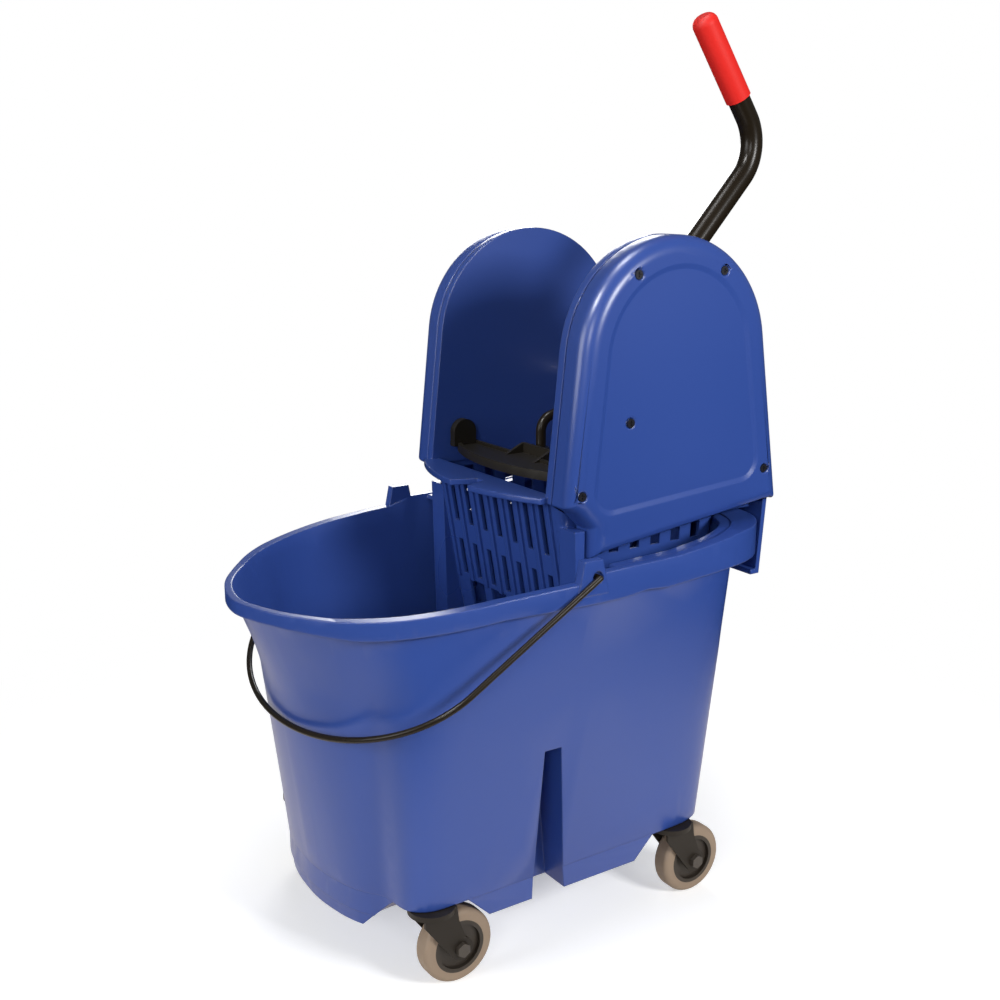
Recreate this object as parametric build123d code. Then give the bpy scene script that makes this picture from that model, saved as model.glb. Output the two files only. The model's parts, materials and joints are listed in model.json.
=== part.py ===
"""Mop bucket on four swivel casters with a lift-off down-press wringer.

Millimetres, +Z up, floor at z = 0, pouring spout towards -X, wringer towards +X.
Left is -Y, the side that carries the hand lever.
"""
from build123d import *
import math
import os

os.makedirs("parts", exist_ok=True)

# Cutting blocks: how far they reach past the object, and how far a cut runs past the face it opens
FAR_X = 330.0
FAR_Y = 260.0
FAR_Z = 500.0
CUT = 1.0

# Casters
WHEEL_R = 38.0
WHEEL_WIDTH = 22.0
WHEEL_GAP = 3.7
TYRE_ROUND = 6.0
HUB_R = 27.0
HUB_BOSS_R = 9.0
HUB_DISH = 4.0
TRAIL = 25.0
SWIVELS = {
    "front_left": (-150.0, -142.0),
    "front_right": (-150.0, 142.0),
    "rear_left": (150.0, -138.5),
    "rear_right": (150.0, 138.5),
}
WELL_R = (74.0, 36.0)
STEM_R = 5.0
STEM_COLLAR_R = 9.0
AXLE_R = 4.0
AXLE_HEAD_R = 7.5
AXLE_HEAD_H = 4.5
RUN_FIT = 0.05
SOCKET_R = 7.0
SOCKET_WALL = 5.0
SOCKET_TOP_Z = 122.0
FORK_CROWN = 5.5
FORK_CROWN_R = 23.0
FORK_TOP_Z = 2 * WHEEL_R + WHEEL_GAP + FORK_CROWN
FORK_GAP = 1.2
FORK_PLATE = 3.0
FORK_EYE_R = 12.0
FORK_FRONT = (15.0, 8.0)
FORK_REAR = (20.0, 22.0, 10.0)
FORK_FLOOR_GAP = 0.8
COLLAR_GAP = 0.3

# Bucket shell
WALL = 4.0
PLINTH_Z = 62.0
PLINTH_IN = 0.6
FOOT_Z = 48.0
FOOT_IN = 3.5
FOOT_BACK_X = -110.0
FLOOR_Z = FORK_TOP_Z + FORK_FLOOR_GAP
FLARE_Z = 275.0
RIM_Z = 378.0
# Half outlines of the outer wall, front apex to rear centre, one list for each height
OUTLINES = {
    FLOOR_Z: [(-211, 0), (-208, 38), (-201, 68), (-190, 91), (-180, 107), (-178, 121), (-174, 140),
              (-160, 152), (-135, 155), (-60, 154), (0, 153), (60, 152), (134, 151), (168, 147), (187, 137),
              (196, 119), (198, 70), (198, 0)],
    FLARE_Z: [(-237, 0), (-233, 39), (-222, 72), (-206, 97), (-192, 113), (-185, 128), (-173, 145),
              (-156, 157), (-129, 163), (-60, 166), (0, 168), (60, 168), (129, 167), (174, 162), (201, 149),
              (216, 123), (221, 70), (221, 0)],
    330.0: [(-255, 0), (-249, 36), (-236, 68), (-219, 97), (-203, 116), (-189, 131), (-173, 147), (-153, 158),
            (-124, 165), (-60, 171), (0, 174), (60, 174), (129, 173), (177, 167), (205, 152), (221, 124),
            (227, 70), (227, 0)],
    RIM_Z: [(-276, 0), (-270, 33), (-257, 64), (-238, 92), (-218, 115), (-198, 132), (-176, 146), (-152, 157),
            (-121, 166), (-60, 175), (0, 180), (60, 180), (131, 178), (180, 171), (208, 155), (226, 125),
            (232, 70), (232, 0)],
    424.0: [(-295, 0), (-288, 34), (-273, 66), (-249, 95), (-225, 118), (-202, 135), (-178, 149), (-152, 160),
            (-119, 169), (-60, 179), (0, 185), (60, 185), (132, 181), (182, 173), (210, 156), (229, 126),
            (235, 70), (235, 0)],
}
# Half outline of the band round the rim: a small lip at the spout, a wide flange at the rear
BAND_OUTLINE = [(-278, 0), (-272, 33), (-259, 64), (-240, 93), (-221, 118), (-202, 137), (-181, 152),
                (-155, 164), (-123, 174), (-61, 183), (0, 188), (60, 188), (134, 188), (190, 184), (229, 167),
                (250, 140), (257, 100), (258, 50), (258, 0)]
RIM_TOP = [(-FAR_X, 375), (-225, 375), (-170, 380), (-90, 388), (-40, 391), (-12, 392), (16, 400), (110, 402),
           (139, 405), (195, 412), (FAR_X, 413)]
BAND_LOW = [(-FAR_X, 363), (-264, 362), (-232, 359), (-212, 358), (-150, 364), (-90, 370), (40, 371),
            (70, 374), (95, 372), (180, 378), (FAR_X, 381)]
BAND_Z = (340.0, 430.0)
BAND_ROOT = 1.0
LEDGE_IN = 14.0
LEDGE_DROP = 1.0
LEDGE_THICK = 5.0
LEDGE_FRONT_X = 38.0
LEDGE_GAP = 2.0
EAR_X = (-8.0, 13.0)
EAR_Y = (179.0, 189.0)
EAR_ROOT_Z = 380.0
EAR_TOP_Z = 413.5
EAR_SLOPE = 7.0
BAFFLE_TOP_X = (-33.5, -14.2)
BAFFLE_LOW_X = (-41.0, 0.0)
BAFFLE_TOP_Z = 222.0
BAFFLE_LOW_Z = PLINTH_Z - 10.0
BAFFLE_IN_Y = 119.0

# Bail wire
BAIL_R = 3.0
BAIL_PIVOT = (7.2, 396.7)
BAIL_Y = 192.5
BAIL_TIP_Y = 182.0
BAIL_TIP_GAP = 0.5
BAIL_ANGLE = 31.0
BAIL_ARM = 165.0
BAIL_GAP = 1.8
BAIL_REACH = (BAIL_PIVOT[0] - OUTLINES[FLARE_Z][0][0] + BAIL_GAP) / math.cos(math.radians(BAIL_ANGLE))
BAIL_LEAD = 8.0
BAIL_FIT = 0.05
BAIL_SEAT_R = 6.0
BAIL_SEAT_DEPTH = 4.5

# Wringer hoods
HOOD_X = 136.0
HOOD_Z = 588.0
HOOD_R = 118.0
HOOD_DRAFT = (6.0, 9.0)
HOOD_IN_Y = 108.0
HOOD_WALL = 4.0
TRAY_Y = 118.0
DECK_Z = 452.0
COVER_GAP = 0.4
COVER_OUT_Y = 149.0
COVER_ROUND = 16.0
COVER_LOW_Z = (DECK_Z, 427.0)
COVER_FOOT = [(16.0, 445.0), (33.0, 428.0), (33.0, 397.0)]
COVER_OPEN_Z = 380.0
PANEL_INSET = 27.0
PANEL_DEPTH = 1.8
PANEL_SLOPE = 5.0
PANEL_CORNER = 24.0
PANEL_LOW_Z = (439.0, 455.0)
COVER_SCREWS = [(81.0, 670.4), (189.0, 670.4), (18.5, 464.0), (255.0, 464.0), (75.5, 529.4)]
SCREW_SEAT_R = 7.0
SCREW_SEAT = 4.0
SCREW_SINK = 3.0
SCREW_R = 2.0
SCREW_GAP = 0.4
SCREW_END_Y = TRAY_Y + 6.0
SCREW_HEAD_R = 4.4
SCREW_HEAD_H = 2.4
SCREW_BOSS_R = 6.0
SCREW_BOSS_SHORT = 9.0
CROSS_HALF = 2.6
CROSS_WIDTH = 1.0

# Wringer basket
DECK_THICK = 6.0
DECK_X = (9.0, 268.0)
DECK_COVER_GAP = 3.0
DECK_HALF_Y = COVER_OUT_Y - HOOD_WALL - DECK_COVER_GAP
BASKET_TOP_X = (12.0, 226.0)
BASKET_LOW_X = (45.0, 196.0)
BASKET_HALF_Y = (117.5, 112.0)
BASKET_LOW_Z = 262.0
BASKET_WALL = 3.5
BASKET_ROUND = 10.0
MOUTH_X = (BASKET_TOP_X[0], BASKET_TOP_X[1] - BASKET_WALL)
LIP_APEX_X = -33.0
LIP_RADIUS = 234.0
NOTCH_X = -7.0
NOTCH_FRONT_Y = (-23.0, 9.5)
NOTCH_BACK_Y = (-13.0, -2.0)
SLOT_COUNT = 7
SLOT_PITCH = 28.5
SLOT_WIDTH = 8.5
SLOT_UPPER_Z = (391.0, 446.0)
SLOT_LOWER_Z = (328.0, 369.0)
RIB_WIDTH = 6.0
RIB_OUT = 2.5
RIB_LOW_Z = 322.0
WINDOW_COUNT = 4
WINDOW_PITCH = 44.0
WINDOW_WIDTH = 30.0
WINDOW_Z = (270.0, 322.0)
FRONT_CUT_X = (-CUT, 60.0)
SIDE_SLOT_COUNT = 6
SIDE_SLOT_MID_X = 123.5
SIDE_SLOT_PITCH = 27.0
SIDE_SLOT_WIDTH = 12.0
SIDE_SLOT_Z = ((392.0, 444.0), (300.0, 372.0))
REAR_SLOT_COUNT = 5
REAR_SLOT_Z = (300.0, 400.0)
DRAIN_COUNT = 6
DRAIN_MID_X = 118.0
DRAIN_PITCH = 23.0
DRAIN_WIDTH = 10.0
DRAIN_Y = (12.0, 98.0)
LEG_FOOT_X = (28.0, 46.0)
LEG_TOP_X = (19.0, 31.0)
LEG_STEP_Z = (380.0, 392.0)
LEG_TOP_Z = 426.0
LEG_Y = (110.0, 136.0)
LEG_GAP = 0.5
LEG_FOOT_Z = PLINTH_Z + WALL + LEG_GAP
HOOK_X = (271.0, 280.0)
HOOK_THICK = 5.5
HOOK_HALF_Y = 132.0
HOOK_LOW_Z = 343.0
HOOK_WIDE_Z = 426.0
HOOK_LIP_X = 259.0
BRIDGE_FRONT_X = 220.0
BRIDGE_HALF_Y = 117.5
REST_RIBS_Y = (-110.0, -40.0, 40.0, 110.0)
REST_RIB_WIDTH = 5.0
RIM_REST_GAP = 0.4

# Lever and its gear
PIVOT = (134.0, 598.0)
LEVER_Y = -92.0
LEVER_FOOT = (121.0, 610.0)
LEVER_BEND = (284.6, 788.0)
LEVER_TOP = (200.5, 908.6)
LEVER_BEND_R = 48.0
LEVER_HUB_R = 21.0
LEVER_HUB_Y = (-104.0, -78.0)
LEVER_SHAFT_Y = (-137.0, -80.0)
LEVER_TUBE_START = 26.0
LEVER_SOCKET = (6.0, 50.0)
LEVER_SOCKET_WALL = 2.5
LEVER_BOLT_AT = 40.0
BOLT_R = 3.0
BOLT_HEAD_R = 6.0
BOLT_HEAD_H = 3.0
TUBE_R = 11.4
TUBE_WALL = 2.0
GRIP_R = 13.2
GRIP_LENGTH = 92.0
GRIP_CAP = 5.0
GRIP_ROUND = 9.0
GEAR_MODULE = 4.3
PINION_TEETH = 12
GEAR_TEETH = 24
PRESSURE_ANGLE = 25.0
TOOTH_OUT = 0.95
TOOTH_IN = 1.2
FLANK_STEPS = 5
BACKLASH = 0.30
GEAR_Y = (-131.0, -119.0)
SHAFT_R = 8.0
BUSH_R = 11.0
BUSH_FLANGE = 4.0
BUSH_FLANGE_THICK = 2.5
BUSH_PROUD = 1.5
BUSH_LENGTH = 9.5
CLIP_OUT = 3.0
CLIP_THICK = 2.0
CLIP_GAP = 0.5

# Press
SHAFT_ANGLE = -46.8
GEAR_CENTRES = GEAR_MODULE * (PINION_TEETH + GEAR_TEETH) / 2
SHAFT_LINE = (PIVOT[0] + GEAR_CENTRES * math.cos(math.radians(SHAFT_ANGLE)),
              PIVOT[1] + GEAR_CENTRES * math.sin(math.radians(SHAFT_ANGLE)))
SHAFT_HALF_Y = 138.0
SHAFT_CLIP_Y = 132.5
SHAFT_PIN_R = 2.5
SHAFT_PIN_HALF = 16.0
PLATE_Z = 466.0
PLATE_THICK = 6.5
PLATE_RIM_Z = 475.5
PLATE_EDGE = 4.0
PLATE_APEX_X = 10.5
PLATE_ARC_R = 250.0
PLATE_BACK_X = 57.0
PLATE_HALF_Y = 104.0
PLATE_CORNER = 12.0
TONGUE_X = 97.0
TONGUE_HALF_Y = 28.0
TONGUE_WALL_X = (68.0, 72.0)
TONGUE_WALL_Z = 483.0
GUSSET_FRONT_X = 46.0
LUG_CENTRE = (39.0, 487.0)
LUG_R = 14.0
LUG_THICK = 9.0
YOKE_FOOT_X = 84.0
YOKE_FOOT_R = 9.0
YOKE_FOOT_H = 6.0
YOKE_Y = 14.0
YOKE_BAR_R = 5.5
YOKE_BEND_R = 16.0
YOKE_HUB_R = 15.0
YOKE_HUB_HALF = 28.0
YOKE_NECK = [(112.0, 516.0), (YOKE_FOOT_X, 508.0)]
YOKE_ROOT = (12.0, 3.0)


def box(x, y, z):
    """Block between the given low and high corners on each axis."""
    size = (x[1] - x[0], y[1] - y[0], z[1] - z[0])
    return Pos((x[0] + x[1]) / 2, (y[0] + y[1]) / 2, (z[0] + z[1]) / 2) * Box(*size)


def around(middle, width):
    """Low and high end of a span."""
    return (middle - width / 2, middle + width / 2)


def on_side(side, near, far):
    """Span in Y between two distances from the middle, on the side -1 or +1."""
    return sorted((side * near, side * far))


def row(count, pitch):
    """Evenly spaced places, centred on zero."""
    return [(i - (count - 1) / 2) * pitch for i in range(count)]


def rod(centre, radius, y):
    """Cylinder along Y at (x, z), from y[0] to y[1]."""
    face = Plane(origin=(centre[0], y[0], centre[1]), z_dir=(0, 1, 0)) * Circle(radius)
    return extrude(face, y[1] - y[0])


def bore(centre, radius):
    """Long cylinder along Y for a through hole."""
    return rod(centre, radius, (-FAR_Y, FAR_Y))


def post(centre, radius, z):
    """Cylinder along Z at (x, y), from z[0] to z[1]."""
    return extrude(Pos(centre[0], centre[1], z[0]) * Circle(radius), z[1] - z[0])


def side_prism(points, y):
    """Prism over a closed polygon of (x, z) points, from y[0] to y[1]."""
    corners = [(px, y[0], pz) for px, pz in points]
    face = make_face(Polyline(*corners, close=True))
    return extrude(face, y[1] - y[0], dir=(0, 1, 0))


def hexagon(origin, direction, radius, height):
    """Hexagonal bolt head or nut."""
    return extrude(Plane(origin=origin, z_dir=direction) * RegularPolygon(radius, 6), height)


def mirror_y(shape):
    """The same piece on the other side of the XZ plane."""
    return mirror(shape, about=Plane.XZ)


def save(name, *solids):
    """Writes one node; several solids are kept as a group."""
    bodies = []
    for item in solids:
        bodies.extend(item.solids())
    export_step(bodies[0] if len(bodies) == 1 else Compound(children=bodies), f"parts/{name}.step")


def inset(points, amount):
    """Half outline moved inwards by the given distance."""
    result = []
    for i, (px, py) in enumerate(points):
        before = points[i - 1] if i else (points[1][0], -points[1][1])
        after = points[i + 1] if i + 1 < len(points) else (points[-2][0], -points[-2][1])
        run = math.hypot(after[0] - before[0], after[1] - before[1])
        step = (amount * (after[1] - before[1]) / run, -amount * (after[0] - before[0]) / run)
        result.append((px + step[0], max(py + step[1], 0.0)))
    return result


def outline_face(points, z):
    """Closed smooth face through a half outline and its mirror image."""
    loop = list(points) + [(px, -py) for px, py in reversed(points[1:-1])]
    return make_face(Spline(*[(px, py, z) for px, py in loop], periodic=True))


def bucket_body(amount):
    """Body of the bucket, straight below and flared above, its wall moved inwards by the given distance."""
    faces = {z: outline_face(inset(points, amount), z) for z, points in OUTLINES.items()}
    straight = loft([faces[z] for z in faces if z <= FLARE_Z], ruled=True)
    flared = loft([faces[z] for z in faces if z >= FLARE_Z])
    return straight + flared


def between_profiles(low, high):
    """Wide block kept between two side-view lines."""
    return side_prism(low + high[::-1], (-FAR_Y, FAR_Y))


def base(amount, high_z):
    """Stepped base, deepest at the nose and cut back where the casters swing, moved inwards by a distance."""
    block = None
    for step_in, low_z, back_x in ((PLINTH_IN, PLINTH_Z, FAR_X), (FOOT_IN, FOOT_Z, FOOT_BACK_X)):
        face = outline_face(inset(OUTLINES[FLOOR_Z], amount + step_in), low_z + amount)
        step = extrude(face, high_z - low_z - amount)
        step &= box((-FAR_X, back_x - amount), (-FAR_Y, FAR_Y), (0, FAR_Z))
        block = step if block is None else block + step
    return block - [caster_well(centre, amount) for centre in SWIVELS.values()]


def caster_well(centre, grow):
    """Conical space over a caster for its swing, its wall moved outwards by the given distance."""
    height = FLOOR_Z - FOOT_Z
    slope = (WELL_R[0] - WELL_R[1]) / height
    wider = grow * math.hypot(1, slope)
    reach = 2 * WALL
    radii = [WELL_R[0] + wider + slope * CUT, WELL_R[1] + wider - slope * reach]
    return Pos(*centre, FOOT_Z + (height + reach - CUT) / 2) * Cone(*radii, height + reach + CUT)


def baffle(side, grow):
    """Upright wedge-shaped recess in a side wall that stills the water."""
    top_z = BAFFLE_TOP_Z + grow
    wedge = [(BAFFLE_LOW_X[0] - grow, BAFFLE_LOW_Z), (BAFFLE_TOP_X[0] - grow, top_z),
             (BAFFLE_TOP_X[1] + grow, top_z), (BAFFLE_LOW_X[1] + grow, BAFFLE_LOW_Z)]
    return side_prism(wedge, on_side(side, BAFFLE_IN_Y - grow, FAR_Y))


def rim_band():
    """Band round the outside of the rim."""
    ring = extrude(outline_face(BAND_OUTLINE, BAND_Z[0]), BAND_Z[1] - BAND_Z[0])
    return (ring - bucket_body(BAND_ROOT)) & between_profiles(BAND_LOW, RIM_TOP)


def rear_ledge():
    """Flat ledge inside the rear half of the rim, cut round the wringer's basket."""
    outline = OUTLINES[RIM_Z]
    ring = outline_face(inset(outline, WALL / 2), BAND_Z[0])
    ring -= outline_face(inset(outline, LEDGE_IN), BAND_Z[0])
    top = [(px, pz - LEDGE_DROP) for px, pz in RIM_TOP]
    under = [(px, pz - LEDGE_THICK) for px, pz in top]
    ledge = extrude(ring, BAND_Z[1] - BAND_Z[0]) & between_profiles(under, top)
    ledge &= box((LEDGE_FRONT_X, FAR_X), (-FAR_Y, FAR_Y), BAND_Z)
    return ledge - basket_block(-LEDGE_GAP, BASKET_LOW_Z)


def bail_ear():
    """Ear on the right rim for one end of the bail."""
    profile = [(EAR_X[0] - EAR_SLOPE, EAR_ROOT_Z), (EAR_X[0], EAR_TOP_Z), (EAR_X[1], EAR_TOP_Z),
               (EAR_X[1] + EAR_SLOPE, EAR_ROOT_Z)]
    return side_prism(profile, EAR_Y)


def bucket_shell():
    """Bucket with spout, rim band, bail ears, baffles and caster bosses."""
    above_rim = side_prism(RIM_TOP + [(FAR_X, FAR_Z), (-FAR_X, FAR_Z)], (-FAR_Y, FAR_Y))
    below_floor = box((-FAR_X, FAR_X), (-FAR_Y, FAR_Y), (0, FLOOR_Z + WALL))
    overlap = 2 * CUT
    outer = bucket_body(0) + base(0, FLOOR_Z + overlap)
    hollow = (bucket_body(WALL) - below_floor) + base(WALL, FLOOR_Z + WALL + overlap)
    for side in (-1, 1):
        hollow -= baffle(side, WALL)
    for centre in SWIVELS.values():
        hollow -= post(centre, SOCKET_R + SOCKET_WALL, (FLOOR_Z, SOCKET_TOP_Z + SOCKET_WALL))
    shell = (outer - hollow - above_rim) + rim_band() + rear_ledge()
    ear = bail_ear()
    shell += [ear, mirror_y(ear)]
    for side in (-1, 1):
        shell -= baffle(side, 0)
        shell -= rod(BAIL_PIVOT, BAIL_R + BAIL_FIT, on_side(side, BAIL_TIP_Y - BAIL_TIP_GAP, FAR_Y))
        shell -= rod(BAIL_PIVOT, BAIL_SEAT_R, on_side(side, EAR_Y[1] - BAIL_SEAT_DEPTH, FAR_Y))
    for centre in SWIVELS.values():
        shell -= post(centre, SOCKET_R, (FLOOR_Z - CUT, SOCKET_TOP_Z))
    return shell


def caster_sockets():
    """Four steel sleeves in the bucket's caster bosses."""
    sockets = []
    for centre in SWIVELS.values():
        sleeve = post(centre, SOCKET_R, (FLOOR_Z, SOCKET_TOP_Z))
        sockets.append(sleeve - post(centre, STEM_R + RUN_FIT, (0, FAR_Z)))
    return sockets


def bail_wire():
    """Round wire loop hooked into both ears, hanging round the spout."""
    angle = math.radians(BAIL_ANGLE)
    outward = Vector(-math.cos(angle), 0, -math.sin(angle))

    def place(run, y):
        return Vector(BAIL_PIVOT[0], y, BAIL_PIVOT[1]) + outward * run

    front_plane = Plane(origin=place(BAIL_ARM, 0), x_dir=outward, z_dir=outward.cross(Vector(0, 1, 0)))
    front = front_plane * EllipticalCenterArc((0, 0), BAIL_REACH - BAIL_ARM, BAIL_Y, 90, arc_size=-180)
    right = Line(place(BAIL_LEAD, BAIL_Y), place(BAIL_ARM, BAIL_Y))
    left = Line(place(BAIL_ARM, -BAIL_Y), place(BAIL_LEAD, -BAIL_Y))
    ends = []
    for side in (1, -1):
        corner = place(0, side * BAIL_Y)
        ends.append(Pos(*corner) * Sphere(BAIL_R))
        ends.append(extrude(Plane(origin=corner, z_dir=outward) * Circle(BAIL_R), BAIL_LEAD + CUT))
        ends.append(rod(BAIL_PIVOT, BAIL_R, on_side(side, BAIL_TIP_Y, BAIL_Y)))
    path = Wire([right, front, left])
    section = Plane(origin=path @ 0, z_dir=path % 0) * Circle(BAIL_R)
    return sweep(section, path=path) + ends


def caster_fork(centre, axle, inner, outer):
    """Crown with two cheeks that lean back to the axle."""
    x, y = centre
    crown_z = FORK_TOP_Z - FORK_CROWN
    eye_low = axle[1] - FORK_EYE_R / 2
    front_x = x - FORK_FRONT[0]
    cheek = [(front_x, FORK_TOP_Z), (front_x, crown_z - FORK_FRONT[1]), (axle[0] - FORK_EYE_R + CUT, eye_low),
             (axle[0] + FORK_EYE_R - CUT, eye_low), (x + FORK_REAR[1], crown_z - FORK_REAR[2]),
             (x + FORK_REAR[0], FORK_TOP_Z)]
    fork = post(centre, FORK_CROWN_R, (crown_z, FORK_TOP_Z))
    for side in (-1, 1):
        span = sorted((y + side * inner, y + side * outer))
        fork += side_prism(cheek, span) + rod(axle, FORK_EYE_R, span)
    return fork - bore(axle, AXLE_R) - post(centre, STEM_R, (crown_z - CUT, FORK_TOP_Z + CUT))


def wheel_hub(axle, y, half):
    """Wheel core with a dished face on each side and a raised boss."""
    hub = rod(axle, HUB_R, (y - half, y + half)) - bore(axle, AXLE_R + RUN_FIT)
    for side in (-1, 1):
        dish = rod(axle, HUB_R - HUB_DISH, sorted((y + side * (half - HUB_DISH), y + side * (half + CUT))))
        hub -= dish - rod(axle, HUB_BOSS_R, (y - half, y + half))
    return hub


def caster(name, centre):
    """Fork, stem, wheel hub, tyre and axle of one caster, trailing towards +X."""
    x, y = centre
    axle = (x + TRAIL, WHEEL_R)
    half = WHEEL_WIDTH / 2
    inner = half + FORK_GAP
    outer = inner + FORK_PLATE
    stem = post(centre, STEM_R, (FORK_TOP_Z - FORK_CROWN, SOCKET_TOP_Z - CUT))
    stem += post(centre, STEM_COLLAR_R, (FORK_TOP_Z, FORK_TOP_Z + FORK_FLOOR_GAP - COLLAR_GAP))
    tyre = rod(axle, WHEEL_R, (y - half, y + half)) - bore(axle, HUB_R)
    rims = tyre.edges().filter_by(GeomType.CIRCLE).filter_by(lambda e: e.radius > HUB_R + CUT)
    tyre = fillet(rims, TYRE_ROUND)
    bolt = rod(axle, AXLE_R, (y - outer - CUT, y + outer + AXLE_HEAD_H + CUT))
    bolt += hexagon((axle[0], y - outer, axle[1]), (0, -1, 0), AXLE_HEAD_R, AXLE_HEAD_H)
    nut = hexagon((axle[0], y + outer, axle[1]), (0, 1, 0), AXLE_HEAD_R, AXLE_HEAD_H) - bore(axle, AXLE_R)
    save(f"{name}_fork", caster_fork(centre, axle, inner, outer))
    save(f"{name}_stem", stem)
    save(f"{name}_hub", wheel_hub(axle, y, half))
    save(f"{name}_tyre", tyre)
    save(f"{name}_axle", bolt, nut)


def hood_prism(inset_by, y, front_z, rear_z, foot=()):
    """Hood shape from y[0] to y[1]: round top, drafted sides, then the foot points from front to rear."""
    r = HOOD_R - inset_by
    sides = []
    for way, draft, low_z in ((-1, HOOD_DRAFT[0], front_z), (1, HOOD_DRAFT[1], rear_z)):
        slope = math.radians(draft)
        x = HOOD_X + way * r * math.cos(slope)
        z = HOOD_Z + r * math.sin(slope)
        sides.append(((x, y[0], z), (x + way * (z - low_z) * math.tan(slope), y[0], low_z)))
    (front, front_low), (rear, rear_low) = sides
    arch = ThreePointArc(front, (HOOD_X, y[0], HOOD_Z + r), rear)
    below = [(px, y[0], pz) for px, pz in reversed(foot)]
    rest = Polyline(rear, rear_low, *below, front_low, front)
    return extrude(make_face(arch.edges() + rest.edges()), y[1] - y[0], dir=(0, 1, 0))


def hood_panel():
    """Block for the shallow recess in a cover's face, with round lower corners and sloping sides."""
    panel = hood_prism(PANEL_INSET, (-COVER_OUT_Y - CUT, -COVER_OUT_Y + PANEL_DEPTH), *PANEL_LOW_Z)
    panel = fillet(panel.edges().filter_by(Axis.Y).sort_by(Axis.Z)[:2], PANEL_CORNER)
    bottom = panel.faces().sort_by(Axis.Y)[-1]
    return chamfer(bottom.edges(), PANEL_SLOPE, PANEL_DEPTH, reference=bottom)


def hood_cover():
    """Left hood cover: rounded shell with a shallow recessed panel and screw seats."""
    y_in = -TRAY_Y - COVER_GAP
    skin = hood_prism(0, (-COVER_OUT_Y, y_in), *COVER_LOW_Z, COVER_FOOT)
    skin = fillet(skin.faces().sort_by(Axis.Y)[0].edges(), COVER_ROUND)
    foot_in = [(px + HOOD_WALL, pz + HOOD_WALL) for px, pz in COVER_FOOT[:2]]
    foot_in.append((foot_in[-1][0], COVER_OPEN_Z))
    core_y = (-COVER_OUT_Y + HOOD_WALL, y_in + CUT)
    core = hood_prism(HOOD_WALL, core_y, COVER_LOW_Z[0], COVER_OPEN_Z, foot_in)
    core = fillet(core.faces().sort_by(Axis.Y)[0].edges(), COVER_ROUND - HOOD_WALL)
    cover = skin - core - hood_panel()
    floor_y = -COVER_OUT_Y + PANEL_DEPTH
    seat_y = -COVER_OUT_Y + SCREW_SINK
    for screw in COVER_SCREWS:
        cover += rod(screw, SCREW_SEAT_R, (floor_y, floor_y + SCREW_SEAT)) & skin
        cover -= rod(screw, SCREW_R + SCREW_GAP, (-COVER_OUT_Y - CUT, y_in))
        cover -= rod(screw, SCREW_HEAD_R + SCREW_GAP, (-COVER_OUT_Y - CUT, seat_y))
    return cover


def cover_screws():
    """Ten cross-slotted pan-head screws that hold the two covers."""
    screws = []
    seat_y = -COVER_OUT_Y + SCREW_SINK
    slot_y = (seat_y - SCREW_HEAD_H - CUT, seat_y - SCREW_HEAD_H / 2)
    for x, z in COVER_SCREWS:
        head = rod((x, z), SCREW_HEAD_R, (seat_y - SCREW_HEAD_H, seat_y))
        head -= box(around(x, 2 * CROSS_HALF), slot_y, around(z, CROSS_WIDTH))
        head -= box(around(x, CROSS_WIDTH), slot_y, around(z, 2 * CROSS_HALF))
        screw = head + rod((x, z), SCREW_R, (seat_y, -SCREW_END_Y))
        screws += [screw, mirror_y(screw)]
    return screws


def basket_block(amount, low_z):
    """Tapered basket body, walls moved inwards by the given distance."""
    ends = ((BASKET_LOW_X, BASKET_HALF_Y[1], low_z), (BASKET_TOP_X, BASKET_HALF_Y[0], DECK_Z + CUT))
    faces = []
    for (x0, x1), half, z in ends:
        size = (x1 - x0 - 2 * amount, 2 * half - 2 * amount)
        faces.append(Pos((x0 + x1) / 2, 0, z) * RectangleRounded(*size, BASKET_ROUND))
    return loft(faces)


def basket_front_x(z):
    """Front face of the basket at a height."""
    share = (z - BASKET_LOW_Z) / (DECK_Z + CUT - BASKET_LOW_Z)
    return BASKET_LOW_X[0] + share * (BASKET_TOP_X[0] - BASKET_LOW_X[0])


def front_slots():
    """Two rows of upright slots in the basket's front wall, and windows at its foot."""
    cuts = []
    for y in row(SLOT_COUNT, SLOT_PITCH):
        for z in (SLOT_UPPER_Z, SLOT_LOWER_Z):
            cuts.append(box(FRONT_CUT_X, around(y, SLOT_WIDTH), z))
    for y in row(WINDOW_COUNT, WINDOW_PITCH):
        cuts.append(box(FRONT_CUT_X, around(y, WINDOW_WIDTH), WINDOW_Z))
    return cuts


def front_ribs():
    """Upright ribs on the basket's front wall, between the slots."""
    root = BASKET_WALL / 2
    top_x = basket_front_x(DECK_Z)
    low_x = basket_front_x(RIB_LOW_Z)
    profile = [(top_x - RIB_OUT, DECK_Z), (top_x + root, DECK_Z), (low_x + root, RIB_LOW_Z),
               (low_x - RIB_OUT, RIB_LOW_Z)]
    return [side_prism(profile, around(y, RIB_WIDTH)) for y in row(SLOT_COUNT + 1, SLOT_PITCH)]


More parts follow.
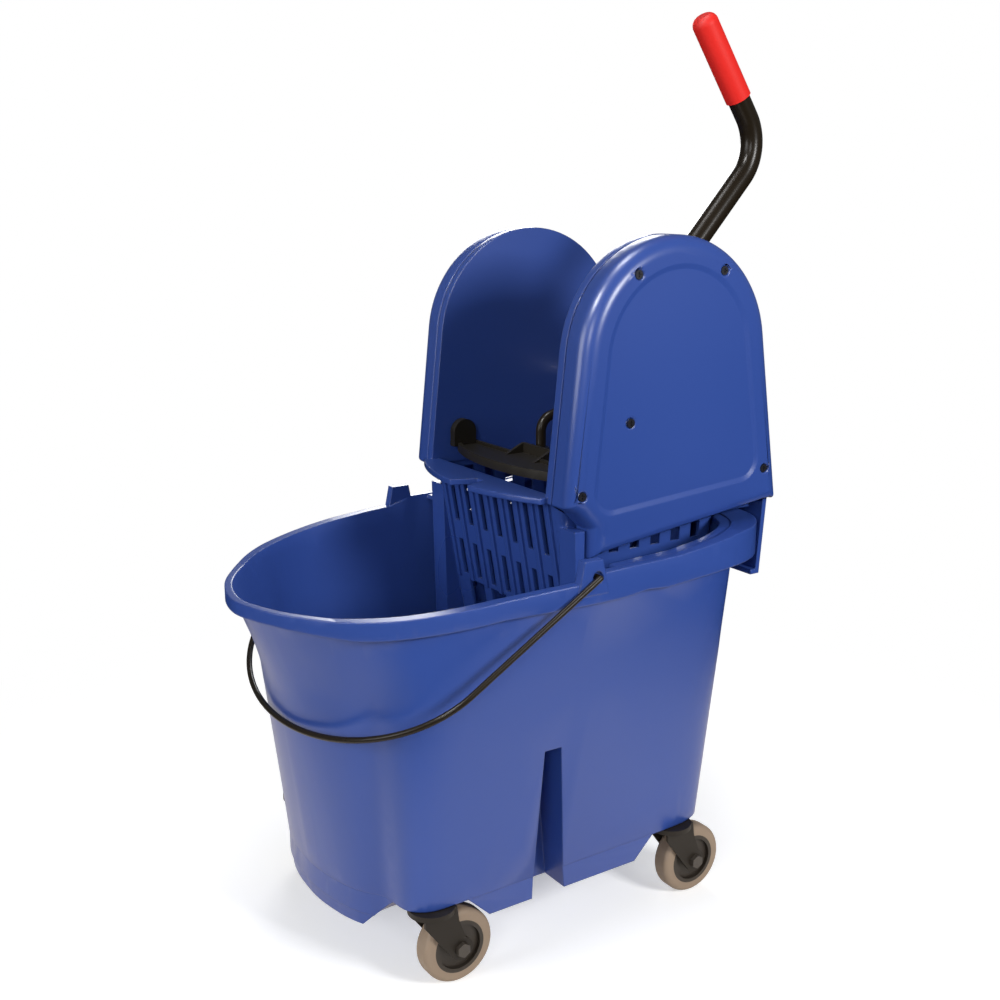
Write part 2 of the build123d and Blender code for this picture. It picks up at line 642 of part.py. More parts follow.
def side_slots():
    """Upright slots in the basket's side and rear walls and drain slots in its floor."""
    cuts = []
    for run in row(SIDE_SLOT_COUNT, SIDE_SLOT_PITCH):
        for z in SIDE_SLOT_Z:
            cuts.append(box(around(SIDE_SLOT_MID_X + run, SIDE_SLOT_WIDTH), (-FAR_Y, FAR_Y), z))
    rear_x = (BASKET_LOW_X[1] - 2 * BASKET_WALL, DECK_X[1])
    for y in row(REAR_SLOT_COUNT, WINDOW_PITCH):
        cuts.append(box(rear_x, around(y, SIDE_SLOT_WIDTH), REAR_SLOT_Z))
    floor_z = (BASKET_LOW_Z - CUT, BASKET_LOW_Z + BASKET_WALL + CUT)
    for run in row(DRAIN_COUNT, DRAIN_PITCH):
        for side in (-1, 1):
            cuts.append(box(around(DRAIN_MID_X + run, DRAIN_WIDTH), on_side(side, *DRAIN_Y), floor_z))
    return cuts


def front_lip():
    """Curved pouring lip in front of the mouth, with a notch that narrows inwards."""
    span = (DECK_Z - CUT, DECK_Z + DECK_THICK + CUT)
    front_x = LIP_APEX_X - CUT
    disc = post((LIP_APEX_X + LIP_RADIUS, 0), LIP_RADIUS, (DECK_Z, DECK_Z + DECK_THICK))
    lip = disc & box((front_x, MOUTH_X[0]), around(0, 2 * (HOOD_IN_Y + HOOD_WALL)), span)
    corners = [(front_x, NOTCH_FRONT_Y[0]), (front_x, NOTCH_FRONT_Y[1]), (NOTCH_X, NOTCH_BACK_Y[1]),
               (NOTCH_X, NOTCH_BACK_Y[0])]
    notch = make_face(Polyline(*[(px, py, span[0]) for px, py in corners], close=True))
    return lip - extrude(notch, span[1] - span[0], dir=(0, 0, 1))


def hood_tray():
    """Inner wall of the left hood with its edge flange and screw bosses."""
    wall = hood_prism(0, (-HOOD_IN_Y - HOOD_WALL, -HOOD_IN_Y), DECK_Z, DECK_Z)
    edge = hood_prism(0, (-TRAY_Y, -HOOD_IN_Y), DECK_Z, DECK_Z)
    edge -= hood_prism(HOOD_WALL, (-TRAY_Y - CUT, -HOOD_IN_Y + CUT), DECK_Z - CUT, DECK_Z - CUT)
    tray = wall + edge
    for screw in COVER_SCREWS:
        tray += rod(screw, SCREW_BOSS_R, (-COVER_OUT_Y + SCREW_BOSS_SHORT, -HOOD_IN_Y - CUT))
        tray -= rod(screw, SCREW_R, (-COVER_OUT_Y, -SCREW_END_Y))
    return tray


def rear_hook():
    """Bridge over the rear rim with rest ribs and the leaning skirt that hangs outside it."""
    def skirt_x(z):
        share = (z - HOOK_LOW_Z) / (DECK_Z - HOOK_LOW_Z)
        return HOOK_X[0] + share * (HOOK_X[1] - HOOK_X[0])

    def skirt(top_z, half_y):
        low_x = skirt_x(HOOK_LOW_Z)
        top_x = skirt_x(top_z)
        profile = [(low_x - HOOK_THICK, HOOK_LOW_Z), (low_x, HOOK_LOW_Z), (top_x, top_z),
                   (top_x - HOOK_THICK, top_z)]
        return side_prism(profile, (-half_y, half_y))

    rest_z = RIM_TOP[-1][1] + RIM_REST_GAP
    rib_end_x = skirt_x(DECK_Z) - HOOK_THICK + CUT / 2
    bridge_x = (BRIDGE_FRONT_X, skirt_x(DECK_Z))
    hook = box(bridge_x, around(0, 2 * BRIDGE_HALF_Y), (DECK_Z - DECK_THICK, DECK_Z))
    hook += skirt(DECK_Z - DECK_THICK / 2, BRIDGE_HALF_Y) + skirt(HOOK_WIDE_Z, HOOK_HALF_Y)
    lip_z = (HOOK_LOW_Z, HOOK_LOW_Z + HOOK_THICK)
    hook += box((HOOK_LIP_X, HOOK_X[0] - CUT), around(0, 2 * HOOK_HALF_Y), lip_z)
    for y in REST_RIBS_Y:
        hook += box((BRIDGE_FRONT_X + CUT, rib_end_x), around(y, REST_RIB_WIDTH), (rest_z, DECK_Z - CUT))
    return hook


def front_leg(side):
    """Post beside the basket's front wall that stands on the bucket's floor."""
    profile = [(LEG_FOOT_X[0], LEG_FOOT_Z), (LEG_TOP_X[0], LEG_TOP_Z), (LEG_TOP_X[1], LEG_TOP_Z),
               (LEG_TOP_X[1], LEG_STEP_Z[1]), (LEG_FOOT_X[1], LEG_STEP_Z[0]), (LEG_FOOT_X[1], LEG_FOOT_Z)]
    return side_prism(profile, on_side(side, *LEG_Y))


def wringer_frame():
    """Basket, hood inner walls, deck, lip, front legs and rear hook as one moulding."""
    basket = basket_block(0, BASKET_LOW_Z) - basket_block(BASKET_WALL, BASKET_LOW_Z + BASKET_WALL)
    basket += front_ribs()
    basket -= box((-FAR_X, FAR_X), (-FAR_Y, FAR_Y), (DECK_Z, FAR_Z))
    basket -= front_slots()
    basket -= side_slots()
    deck = box(DECK_X, (-DECK_HALF_Y, DECK_HALF_Y), (DECK_Z, DECK_Z + DECK_THICK))
    deck = fillet(deck.edges().filter_by(Axis.Z), COVER_ROUND - HOOD_WALL)
    deck -= box(MOUTH_X, (-HOOD_IN_Y, HOOD_IN_Y), (DECK_Z - CUT, DECK_Z + DECK_THICK + CUT))
    frame = basket + deck + front_lip() + rear_hook()
    tray = hood_tray()
    for half in (tray, mirror_y(tray)):
        frame += half
    seat_y = (HOOD_IN_Y - CUT, HOOD_IN_Y + HOOD_WALL + CUT)
    for side in (-1, 1):
        frame += front_leg(side)
        frame -= rod(SHAFT_LINE, BUSH_R, on_side(side, *seat_y))
    return frame - rod(PIVOT, BUSH_R, on_side(-1, *seat_y))


def bushing(centre, side):
    """Flanged plain bearing pressed into a hood's inner wall."""
    start = HOOD_IN_Y - BUSH_PROUD
    flange_y = HOOD_IN_Y + HOOD_WALL
    sleeve = rod(centre, BUSH_R, on_side(side, start, start + BUSH_LENGTH))
    flange = rod(centre, BUSH_R + BUSH_FLANGE, on_side(side, flange_y, flange_y + BUSH_FLANGE_THICK))
    return sleeve + flange - bore(centre, SHAFT_R + RUN_FIT)


def shaft_clip(centre, y):
    """Retaining ring on a shaft, starting at y and reaching outwards."""
    way = 1 if y > 0 else -1
    return rod(centre, SHAFT_R + CLIP_OUT, sorted((y, y + way * CLIP_THICK))) - bore(centre, SHAFT_R)


def involute(angle):
    """Polar angle of an involute at a pressure angle."""
    return math.tan(angle) - angle


def gear(centre, teeth, start):
    """Spur gear with involute flanks; one tooth is centred on the start direction."""
    pitch_r = GEAR_MODULE * teeth / 2
    pressure = math.radians(PRESSURE_ANGLE)
    base_r = pitch_r * math.cos(pressure)
    root_r = pitch_r - TOOTH_IN * GEAR_MODULE
    tip_r = pitch_r + TOOTH_OUT * GEAR_MODULE
    half_pitch = math.pi / (2 * teeth) - BACKLASH / (2 * pitch_r)
    low_r = max(base_r, root_r)
    radii = [low_r + (tip_r - low_r) * k / FLANK_STEPS for k in range(FLANK_STEPS + 1)]
    flank = [(r, half_pitch + involute(pressure) - involute(math.acos(base_r / r))) for r in radii]
    if root_r < low_r:
        flank.insert(0, (root_r, flank[0][1]))
    loop = []
    for i in range(teeth):
        middle = start + 2 * math.pi * i / teeth
        loop += [(r, middle - half) for r, half in flank]
        loop += [(r, middle + half) for r, half in reversed(flank)]
    points = [(centre[0] + r * math.cos(a), centre[1] + r * math.sin(a)) for r, a in loop]
    return side_prism(points, GEAR_Y) - bore(centre, SHAFT_R)


def lever_parts():
    """Stub shaft with pinion, hub, bent tube, grip and fasteners of the hand lever."""
    low = Vector(LEVER_FOOT[0], LEVER_Y, LEVER_FOOT[1])
    bend = Vector(LEVER_BEND[0], LEVER_Y, LEVER_BEND[1])
    top = Vector(LEVER_TOP[0], LEVER_Y, LEVER_TOP[1])
    along = (bend - low).normalized()
    start = low + along * LEVER_TUBE_START
    path = FilletPolyline(start, bend, top, radius=LEVER_BEND_R)
    ring = Circle(TUBE_R) - Circle(TUBE_R - TUBE_WALL)
    tube = sweep(Plane(origin=path @ 0, z_dir=path % 0) * ring, path=path)
    socket_plane = Plane(origin=low + along * LEVER_SOCKET[0], z_dir=along)
    hub = rod(PIVOT, LEVER_HUB_R, LEVER_HUB_Y)
    hub += extrude(socket_plane * Circle(TUBE_R + LEVER_SOCKET_WALL), LEVER_SOCKET[1] - LEVER_SOCKET[0])
    hub -= extrude(Plane(origin=start, z_dir=along) * Circle(TUBE_R), LEVER_SOCKET[1])
    hub -= bore(PIVOT, SHAFT_R)
    cross = low + along * LEVER_BOLT_AT
    bolt_line = (cross.X, cross.Z)
    hub -= bore(bolt_line, BOLT_R)
    tube -= bore(bolt_line, BOLT_R)
    head_y = LEVER_Y + TUBE_R + LEVER_SOCKET_WALL
    bolt = rod(bolt_line, BOLT_R, (LEVER_HUB_Y[0], head_y + CUT))
    bolt += hexagon((cross.X, head_y, cross.Z), (0, 1, 0), BOLT_HEAD_R, BOLT_HEAD_H)
    end = path @ 1
    out = path % 1
    grip_plane = Plane(origin=end - out * (GRIP_LENGTH - GRIP_CAP), z_dir=out)
    grip = extrude(grip_plane * Circle(GRIP_R), GRIP_LENGTH)
    grip = fillet(grip.edges().sort_by(lambda e: (e.center() - end).dot(out))[-1:], GRIP_ROUND)
    grip -= extrude(grip_plane * Circle(TUBE_R), GRIP_LENGTH - GRIP_CAP)
    save("lever_shaft", rod(PIVOT, SHAFT_R, LEVER_SHAFT_Y))
    save("lever_pinion", gear(PIVOT, PINION_TEETH, math.radians(SHAFT_ANGLE)))
    save("lever_clip", shaft_clip(PIVOT, GEAR_Y[0] - CLIP_GAP))
    save("lever_tube", tube)
    save("lever_hub", hub)
    save("lever_bolt", bolt)
    save("lever_grip", grip)


def press_plate():
    """Pressing tray: curved front rim, back wall, tongue for the yoke, gussets and end lugs."""
    centre = (PLATE_APEX_X + PLATE_ARC_R, 0)
    floor_z = PLATE_Z + PLATE_THICK
    middle = (-TONGUE_HALF_Y, TONGUE_HALF_Y)
    tray = post(centre, PLATE_ARC_R, (PLATE_Z, PLATE_RIM_Z))
    tray &= box((PLATE_APEX_X, PLATE_BACK_X), (-PLATE_HALF_Y, PLATE_HALF_Y), (PLATE_Z, PLATE_RIM_Z))
    front_corners = tray.edges().filter_by(Axis.Z).sort_by(Axis.X)[:2]
    tray = fillet(front_corners, PLATE_CORNER)
    well_half = PLATE_HALF_Y - LUG_THICK
    well = post(centre, PLATE_ARC_R - PLATE_EDGE, (PLATE_Z, PLATE_RIM_Z + CUT))
    well_z = (floor_z, PLATE_RIM_Z + CUT)
    well &= box((PLATE_APEX_X, PLATE_BACK_X - PLATE_EDGE), (-well_half, well_half), well_z)
    well += box((PLATE_BACK_X - PLATE_EDGE - CUT, PLATE_BACK_X + CUT), middle, well_z)
    plate = tray - well + box((PLATE_BACK_X - CUT, TONGUE_X), middle, (PLATE_Z, floor_z))
    plate += box(TONGUE_WALL_X, middle, (PLATE_Z, TONGUE_WALL_Z))
    gusset = [(GUSSET_FRONT_X, PLATE_Z), (GUSSET_FRONT_X, floor_z), (TONGUE_WALL_X[0], TONGUE_WALL_Z),
              (TONGUE_WALL_X[1], TONGUE_WALL_Z), (TONGUE_X, floor_z), (TONGUE_X, PLATE_Z)]
    for side in (-1, 1):
        plate += side_prism(gusset, on_side(side, TONGUE_HALF_Y - PLATE_EDGE, TONGUE_HALF_Y))
        span = on_side(side, PLATE_HALF_Y - LUG_THICK, PLATE_HALF_Y)
        plate += rod(LUG_CENTRE, LUG_R, span)
        plate += box(around(LUG_CENTRE[0], 2 * LUG_R), span, (floor_z - CUT, LUG_CENTRE[1]))
        plate -= post((YOKE_FOOT_X, side * YOKE_Y), BOLT_R, (PLATE_Z - CUT, floor_z + CUT))
    return plate


def press_yoke():
    """Hub on the cross shaft with two goose-neck bars and their feet."""
    floor_z = PLATE_Z + PLATE_THICK
    yoke = rod(SHAFT_LINE, YOKE_HUB_R, (-YOKE_HUB_HALF, YOKE_HUB_HALF))
    for y in (-YOKE_Y, YOKE_Y):
        root = (SHAFT_LINE[0] - YOKE_ROOT[0], y, SHAFT_LINE[1] - YOKE_ROOT[1])
        neck = [(px, y, pz) for px, pz in YOKE_NECK]
        path = FilletPolyline(root, *neck, (YOKE_FOOT_X, y, floor_z + YOKE_FOOT_H / 2), radius=YOKE_BEND_R)
        yoke += sweep(Plane(origin=path @ 0, z_dir=path % 0) * Circle(YOKE_BAR_R), path=path)
        yoke += post((YOKE_FOOT_X, y), YOKE_FOOT_R, (floor_z, floor_z + YOKE_FOOT_H))
        yoke -= post((YOKE_FOOT_X, y), BOLT_R, (floor_z - CUT, floor_z + 2 * YOKE_FOOT_H))
    return yoke - bore(SHAFT_LINE, SHAFT_R) - shaft_pin(YOKE_HUB_R + CUT)


def shaft_pin(half_length):
    """Upright pin through the yoke's hub and the cross shaft."""
    return post((SHAFT_LINE[0], 0), SHAFT_PIN_R, (SHAFT_LINE[1] - half_length, SHAFT_LINE[1] + half_length))


def press_parts():
    """Cross shaft, press gear, yoke, plate and their fasteners."""
    shaft = rod(SHAFT_LINE, SHAFT_R, (-SHAFT_HALF_Y, SHAFT_HALF_Y)) - shaft_pin(SHAFT_PIN_HALF)
    mesh = math.radians(SHAFT_ANGLE) + math.pi + math.pi / GEAR_TEETH
    bolts = []
    for y in (-YOKE_Y, YOKE_Y):
        shank = post((YOKE_FOOT_X, y), BOLT_R, (PLATE_Z, PLATE_Z + PLATE_THICK + 2 * YOKE_FOOT_H))
        bolts.append(shank + hexagon((YOKE_FOOT_X, y, PLATE_Z), (0, 0, -1), BOLT_HEAD_R, BOLT_HEAD_H))
    save("cross_shaft", shaft)
    save("shaft_pin", shaft_pin(SHAFT_PIN_HALF))
    save("press_gear", gear(SHAFT_LINE, GEAR_TEETH, mesh))
    save("shaft_clips", shaft_clip(SHAFT_LINE, -SHAFT_CLIP_Y), shaft_clip(SHAFT_LINE, SHAFT_CLIP_Y))
    save("press_yoke", press_yoke())
    save("press_plate", press_plate())
    save("yoke_bolts", *bolts)


save("bucket_shell", bucket_shell())
save("caster_sockets", *caster_sockets())
save("bail_wire", bail_wire())
for caster_name, caster_centre in SWIVELS.items():
    caster(caster_name, caster_centre)
left_cover = hood_cover()
save("left_cover", left_cover)
save("right_cover", mirror_y(left_cover))
save("cover_screws", *cover_screws())
save("wringer_frame", wringer_frame())
save("shaft_bushings", bushing(SHAFT_LINE, -1), bushing(SHAFT_LINE, 1), bushing(PIVOT, -1))
lever_parts()
press_parts()
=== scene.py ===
"""Looks of the mop bucket with down-press wringer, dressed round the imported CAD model.

Metres, +Z up, pouring spout towards -X, wringer towards +X, lever side -Y.
"""

import json
import math

import bpy
from mathutils import Matrix, Vector

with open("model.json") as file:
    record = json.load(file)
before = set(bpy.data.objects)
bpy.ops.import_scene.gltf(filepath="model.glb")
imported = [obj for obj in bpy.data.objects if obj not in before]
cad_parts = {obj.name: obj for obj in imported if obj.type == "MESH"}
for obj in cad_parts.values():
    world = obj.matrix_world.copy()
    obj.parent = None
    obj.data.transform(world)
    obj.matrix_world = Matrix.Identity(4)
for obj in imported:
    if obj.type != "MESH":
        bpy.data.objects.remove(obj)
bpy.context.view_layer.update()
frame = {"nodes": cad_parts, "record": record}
nodes = frame["nodes"]

MM = 0.001

# Camera, solved from the photograph
CAMERA_AT = Vector((-0.7072, -1.1069, 0.7530))
CAMERA_YAW = math.radians(33.382)
CAMERA_PITCH = math.radians(-13.664)
CAMERA_LENS = 46.8
CAMERA_SENSOR = 36.0

# Width of the rounded edges on each moulded or machined node
EDGE_ROUND = {
    "bucket_shell": 1.8 * MM,
    "wringer_frame": 1.8 * MM,
    "left_cover": 1.8 * MM,
    "right_cover": 1.8 * MM,
    "press_plate": 1.2 * MM,
    "press_yoke": 0.6 * MM,
    "lever_hub": 0.8 * MM,
}
EDGE_ANGLE = math.radians(32)
EDGE_SEGMENTS = 3
WELD_GAP = 0.01 * MM
FLAT_ANGLE = math.radians(0.6)

# Nodes whose edges take the full width; on the others short edges hold it back, so the shader rounds them too
FULL_ROUND = ("left_cover", "right_cover")
SHADED_ROUND = 2.0 * MM
SHADED_SAMPLES = 6

# Mottling: a soft cloud for colour and roughness, and a fine raised grain
CLOUD_SCALE = 5.0
CLOUD_DETAIL = 0.0
CLOUD_RANGE = (0.15, 0.85)
GRAIN_DETAIL = 2.0
GRAIN_STRENGTH = 0.12

# Finish of each material slot, and of the axles; grain is the scale of the pattern
FINISHES = {
    "blue_plastic": {
        "shades": ((0.027, 0.066, 0.285), (0.032, 0.073, 0.305)),
        "roughness": (0.27, 0.33), "grain": 700, "grain_depth": 0.02 * MM, "edge": SHADED_ROUND,
    },
    "press_plastic": {
        "shades": ((0.010, 0.008, 0.004), (0.016, 0.012, 0.007)),
        "roughness": (0.42, 0.54), "grain": 300, "grain_depth": 0.1 * MM, "specular": 0.3,
    },
    "gear_plastic": {
        "shades": ((0.62, 0.61, 0.56), (0.70, 0.69, 0.64)),
        "roughness": (0.4, 0.5), "grain": 80, "grain_depth": 0.3 * MM,
    },
    "bearing_plastic": {
        "shades": ((0.03, 0.03, 0.032), (0.045, 0.045, 0.05)),
        "roughness": (0.4, 0.5), "grain": 80, "grain_depth": 0.3 * MM,
    },
    "red_grip": {
        "shades": ((0.74, 0.018, 0.012), (0.80, 0.022, 0.016)),
        "roughness": (0.5, 0.62), "grain": 120, "grain_depth": 0.3 * MM, "specular": 0.25,
    },
    "black_steel": {
        "shades": ((0.013, 0.009, 0.005), (0.018, 0.013, 0.008)),
        "roughness": (0.24, 0.32), "grain": 300, "grain_depth": 0.02 * MM, "specular": 0.18,
    },
    "fork_black": {
        "shades": ((0.011, 0.008, 0.005), (0.019, 0.014, 0.009)),
        "roughness": (0.42, 0.54), "grain": 300, "grain_depth": 0.1 * MM, "specular": 0.3,
    },
    "hub_plastic": {
        "shades": ((0.018, 0.013, 0.008), (0.028, 0.020, 0.013)),
        "roughness": (0.4, 0.55), "grain": 110, "grain_depth": 0.3 * MM,
    },
    "tyre_rubber": {
        "shades": ((0.25, 0.180, 0.122), (0.31, 0.228, 0.160)),
        "roughness": (0.5, 0.68), "grain": 140, "grain_depth": 0.4 * MM,
    },
    "axle_steel": {
        "shades": ((0.04, 0.032, 0.025), (0.06, 0.050, 0.040)),
        "roughness": (0.32, 0.45), "grain": 120, "grain_depth": 0.2 * MM,
    },
    "steel": {
        "shades": ((0.42, 0.40, 0.37), (0.55, 0.53, 0.50)),
        "roughness": (0.25, 0.4), "grain": 120, "grain_depth": 0.2 * MM, "metallic": 1.0,
    },
    "screw_steel": {
        "shades": ((0.008, 0.008, 0.012), (0.014, 0.014, 0.020)),
        "roughness": (0.3, 0.45), "grain": 120, "grain_depth": 0.2 * MM,
    },
}

# Floor: it fades to white between two distances from the origin, and its glow shows only in gloss
FLOOR_SIZE = 14.0
FLOOR_COLOUR = (0.80, 0.80, 0.80)
FLOOR_ROUGHNESS = 0.9
FLOOR_SPECULAR = 0.1
FLOOR_FADE = (0.55, 0.95)
FLOOR_LIFT = 0.43
FLOOR_GLOW = (1.0, 0.76, 0.50)
FLOOR_GLOW_STRENGTH = 0.35

# World: white to the camera, dim and cool as a light
WORLD_COLOUR = (0.95, 0.97, 1.0)
WORLD_LIGHT = 0.15
WHITE = (1.0, 1.0, 1.0)

# Square lamps: place, point aimed at, side and watts
LAMPS = {
    "key": ((0.40, -1.60, 1.05), (0, 0, 0.45), 0.4, 22),
    "fill": ((-2.1, 0.05, 0.95), (0, 0, 0.40), 1.0, 22),
    "front": ((-1.35, -1.45, 1.10), (0, 0, 0.40), 0.5, 10),
    "top": ((-0.2, 0.0, 2.4), (0, 0, 0.40), 0.7, 10),
    "back": ((1.1, 1.8, 1.2), (0, 0, 0.45), 0.8, 18),
    "edge_top": ((-0.1, 0.0, 2.4), (0, 0, 0.40), 0.4, 14),
    "edge_left": ((-1.4, -0.4, 2.1), (0, 0, 0.40), 0.4, 40),
}
GLOSS_LAMPS = ("edge_top", "edge_left")


def opaque(colour):
    """Colour with full alpha, as the sockets take it."""
    return (*colour, 1)


def shader(name):
    """New material with its node list, its links and its surface shader."""
    material = bpy.data.materials.new(name)
    material.use_nodes = True
    tree = material.node_tree
    return material, tree.nodes, tree.links, tree.nodes["Principled BSDF"]


def noise(node_list, link_list, scale, detail):
    """Noise pattern in the object's own coordinates."""
    place = node_list.new("ShaderNodeTexCoord")
    pattern = node_list.new("ShaderNodeTexNoise")
    pattern.inputs["Scale"].default_value = scale
    pattern.inputs["Detail"].default_value = detail
    link_list.new(place.outputs["Object"], pattern.inputs["Vector"])
    return pattern.outputs["Fac"]


def blend_shades(node_list, link_list, source, shades):
    """Colour that runs from one shade to the other over the cloud's range."""
    node = node_list.new("ShaderNodeValToRGB")
    for element, place, shade in zip(node.color_ramp.elements, CLOUD_RANGE, shades):
        element.position = place
        element.color = opaque(shade)
    link_list.new(source, node.inputs["Fac"])
    return node.outputs["Color"]


def blend_values(node_list, link_list, source, values):
    """Number that runs from one value to the other over the cloud's range."""
    node = node_list.new("ShaderNodeMapRange")
    node.inputs["From Min"].default_value, node.inputs["From Max"].default_value = CLOUD_RANGE
    node.inputs["To Min"].default_value, node.inputs["To Max"].default_value = values
    link_list.new(source, node.inputs["Value"])
    return node.outputs["Result"]


def surface(name, shades, roughness, grain, grain_depth, metallic=0.0, specular=0.5, edge=0.0):
    """Mottled material with a fine raised grain and, where edge is given, softly shaded edges."""
    material, node_list, link_list, bsdf = shader(name)
    cloud = noise(node_list, link_list, CLOUD_SCALE, CLOUD_DETAIL)
    fine = noise(node_list, link_list, grain, GRAIN_DETAIL)
    link_list.new(blend_shades(node_list, link_list, cloud, shades), bsdf.inputs["Base Color"])
    link_list.new(blend_values(node_list, link_list, cloud, roughness), bsdf.inputs["Roughness"])
    bump = node_list.new("ShaderNodeBump")
    bump.inputs["Strength"].default_value = GRAIN_STRENGTH
    bump.inputs["Distance"].default_value = grain_depth
    link_list.new(fine, bump.inputs["Height"])
    if edge:
        soft = node_list.new("ShaderNodeBevel")
        soft.samples = SHADED_SAMPLES
        soft.inputs["Radius"].default_value = edge
        link_list.new(soft.outputs["Normal"], bump.inputs["Normal"])
    link_list.new(bump.outputs["Normal"], bsdf.inputs["Normal"])
    bsdf.inputs["Metallic"].default_value = metallic
    bsdf.inputs["Specular IOR Level"].default_value = specular
    return material


def round_edges(node, width, clamp):
    """Small rounded edges where the moulding has sharp corners, clamped where short edges would cross."""
    weld = node.modifiers.new("weld", "WELD")
    weld.merge_threshold = WELD_GAP
    flat = node.modifiers.new("flat", "DECIMATE")
    flat.decimate_type = "DISSOLVE"
    flat.angle_limit = FLAT_ANGLE
    bevel = node.modifiers.new("bevel", "BEVEL")
    bevel.width = width
    bevel.segments = EDGE_SEGMENTS
    bevel.limit_method = "ANGLE"
    bevel.angle_limit = EDGE_ANGLE
    bevel.harden_normals = True
    bevel.use_clamp_overlap = clamp


def dress_nodes():
    """Gives every CAD node the finish of its slot and rounds the edges of those that are listed."""
    materials = {name: surface(name, **finish) for name, finish in FINISHES.items()}
    for row in frame["record"]["subparts"]:
        name = row["node"]
        node = nodes[name]
        finish = "axle_steel" if name.endswith("_axle") else row["material_slot"]
        node.data.materials.clear()
        node.data.materials.append(materials[finish])
        if name in EDGE_ROUND:
            round_edges(node, EDGE_ROUND[name], clamp=name not in FULL_ROUND)


def floor():
    """Pale floor that keeps the object's shadow and runs into white further out."""
    bpy.ops.mesh.primitive_plane_add(size=FLOOR_SIZE, location=(0, 0, 0))
    plane = bpy.context.object
    plane.name = "floor"
    material, node_list, link_list, bsdf = shader("floor_white")
    bsdf.inputs["Base Color"].default_value = opaque(FLOOR_COLOUR)
    bsdf.inputs["Roughness"].default_value = FLOOR_ROUGHNESS
    bsdf.inputs["Specular IOR Level"].default_value = FLOOR_SPECULAR
    path = node_list.new("ShaderNodeLightPath")

    # Warm glow in the object's reflections
    glow = node_list.new("ShaderNodeMath")
    glow.operation = "MULTIPLY"
    glow.inputs[1].default_value = FLOOR_GLOW_STRENGTH
    link_list.new(path.outputs["Is Glossy Ray"], glow.inputs[0])
    bsdf.inputs["Emission Color"].default_value = opaque(FLOOR_GLOW)
    link_list.new(glow.outputs["Value"], bsdf.inputs["Emission Strength"])

    # The camera sees the floor lifted towards white, with the shadow kept
    lift = node_list.new("ShaderNodeEmission")
    lift.inputs["Strength"].default_value = FLOOR_LIFT
    camera_floor = node_list.new("ShaderNodeAddShader")
    link_list.new(bsdf.outputs["BSDF"], camera_floor.inputs[0])
    link_list.new(lift.outputs["Emission"], camera_floor.inputs[1])
    seen_floor = node_list.new("ShaderNodeMixShader")
    link_list.new(path.outputs["Is Camera Ray"], seen_floor.inputs["Fac"])
    link_list.new(bsdf.outputs["BSDF"], seen_floor.inputs[1])
    link_list.new(camera_floor.outputs["Shader"], seen_floor.inputs[2])

    # Further out it is plain white to the camera
    place = node_list.new("ShaderNodeTexCoord")
    distance = node_list.new("ShaderNodeVectorMath")
    distance.operation = "LENGTH"
    link_list.new(place.outputs["Object"], distance.inputs[0])
    away = node_list.new("ShaderNodeMapRange")
    away.interpolation_type = "SMOOTHSTEP"
    away.inputs["From Min"].default_value, away.inputs["From Max"].default_value = FLOOR_FADE
    link_list.new(distance.outputs["Value"], away.inputs["Value"])
    white = node_list.new("ShaderNodeEmission")
    link_list.new(path.outputs["Is Camera Ray"], white.inputs["Strength"])
    mix = node_list.new("ShaderNodeMixShader")
    link_list.new(away.outputs["Result"], mix.inputs["Fac"])
    link_list.new(seen_floor.outputs["Shader"], mix.inputs[1])
    link_list.new(white.outputs["Emission"], mix.inputs[2])
    link_list.new(mix.outputs["Shader"], node_list["Material Output"].inputs["Surface"])
    plane.data.materials.append(material)


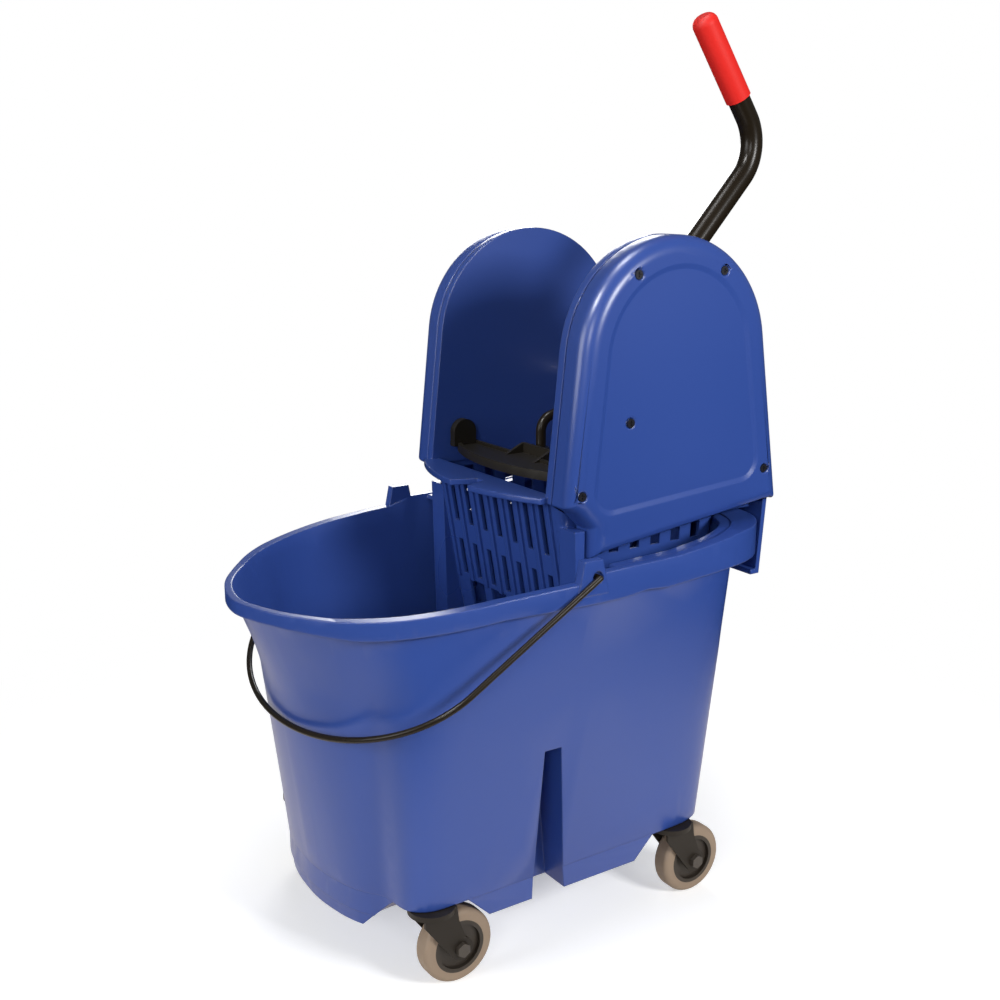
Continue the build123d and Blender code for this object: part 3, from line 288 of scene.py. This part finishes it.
def backdrop():
    """White world for the camera, dim and cool for the light it gives."""
    world = bpy.context.scene.world or bpy.data.worlds.new("world")
    bpy.context.scene.world = world
    world.use_nodes = True
    node_list = world.node_tree.nodes
    link_list = world.node_tree.links
    light = node_list["Background"]
    light.inputs["Color"].default_value = opaque(WORLD_COLOUR)
    light.inputs["Strength"].default_value = WORLD_LIGHT
    white = node_list.new("ShaderNodeBackground")
    white.inputs["Color"].default_value = opaque(WHITE)
    path = node_list.new("ShaderNodeLightPath")
    seen = node_list.new("ShaderNodeMath")
    seen.operation = "MAXIMUM"
    link_list.new(path.outputs["Is Camera Ray"], seen.inputs[0])
    link_list.new(path.outputs["Is Transmission Ray"], seen.inputs[1])
    mix = node_list.new("ShaderNodeMixShader")
    link_list.new(seen.outputs["Value"], mix.inputs["Fac"])
    link_list.new(light.outputs["Background"], mix.inputs[1])
    link_list.new(white.outputs["Background"], mix.inputs[2])
    link_list.new(mix.outputs["Shader"], node_list["World Output"].inputs["Surface"])


def area_light(name, at, towards, side, power):
    """Soft square lamp aimed at a point."""
    data = bpy.data.lights.new(name, "AREA")
    data.shape = "SQUARE"
    data.size = side
    data.energy = power
    lamp = bpy.data.objects.new(name, data)
    lamp.location = at
    lamp.rotation_euler = (Vector(towards) - Vector(at)).to_track_quat("-Z", "Y").to_euler()
    bpy.context.scene.collection.objects.link(lamp)
    return lamp


def studio_light():
    """Low key from the lever side, fills all round, and two lamps that only draw light lines on edges."""
    for name, setting in LAMPS.items():
        lamp = area_light(name, *setting)
        lamp.visible_diffuse = name not in GLOSS_LAMPS


def camera():
    """Camera at the photograph's place and angle."""
    data = bpy.data.cameras.new("camera")
    data.lens = CAMERA_LENS
    data.sensor_width = CAMERA_SENSOR
    eye = bpy.data.objects.new("camera", data)
    forward = Vector((math.sin(CAMERA_YAW) * math.cos(CAMERA_PITCH),
                      math.cos(CAMERA_YAW) * math.cos(CAMERA_PITCH),
                      math.sin(CAMERA_PITCH)))
    right = Vector((math.cos(CAMERA_YAW), -math.sin(CAMERA_YAW), 0))
    up = right.cross(forward)
    turn = Matrix((right, up, -forward)).transposed().to_4x4()
    eye.matrix_world = Matrix.Translation(CAMERA_AT) @ turn
    bpy.context.scene.collection.objects.link(eye)
    bpy.context.scene.camera = eye


dress_nodes()
floor()
backdrop()
studio_light()
camera()
bpy.context.scene.view_settings.view_transform = "Standard"
